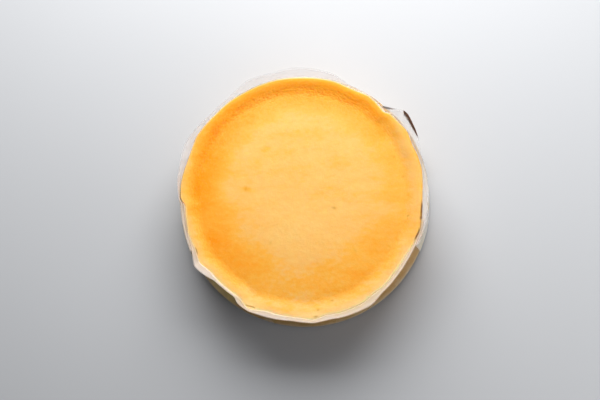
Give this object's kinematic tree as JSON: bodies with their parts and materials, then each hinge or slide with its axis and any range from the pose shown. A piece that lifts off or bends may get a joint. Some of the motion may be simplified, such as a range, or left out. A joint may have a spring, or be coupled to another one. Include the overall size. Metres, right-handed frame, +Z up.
{
  "type": "new york cheesecake",
  "caption": "Whole round baked cheesecake with a sunken pale middle and a browned raised rim, on a crumb crust, wrapped in parchment strips.",
  "frame": {"origin": "middle of the flat foot of the crust, on the surface that the cake stands on", "axes": "+Z up; -Y is the near side in the usual view from above, and +X is to its right"},
  "size_m": [0.231, 0.2302, 0.0623],
  "materials": {
    "crumb_crust": null,
    "baked_filling": null,
    "parchment": "baking parchment, white where it stands free, stained golden brown with grease where it lies on the cake"
  },
  "bodies": {
    "root": {"crust": "crumb_crust", "filling": "baked_filling", "paper_back": "parchment", "paper_front": "parchment"}
  },
  "joints": []
}
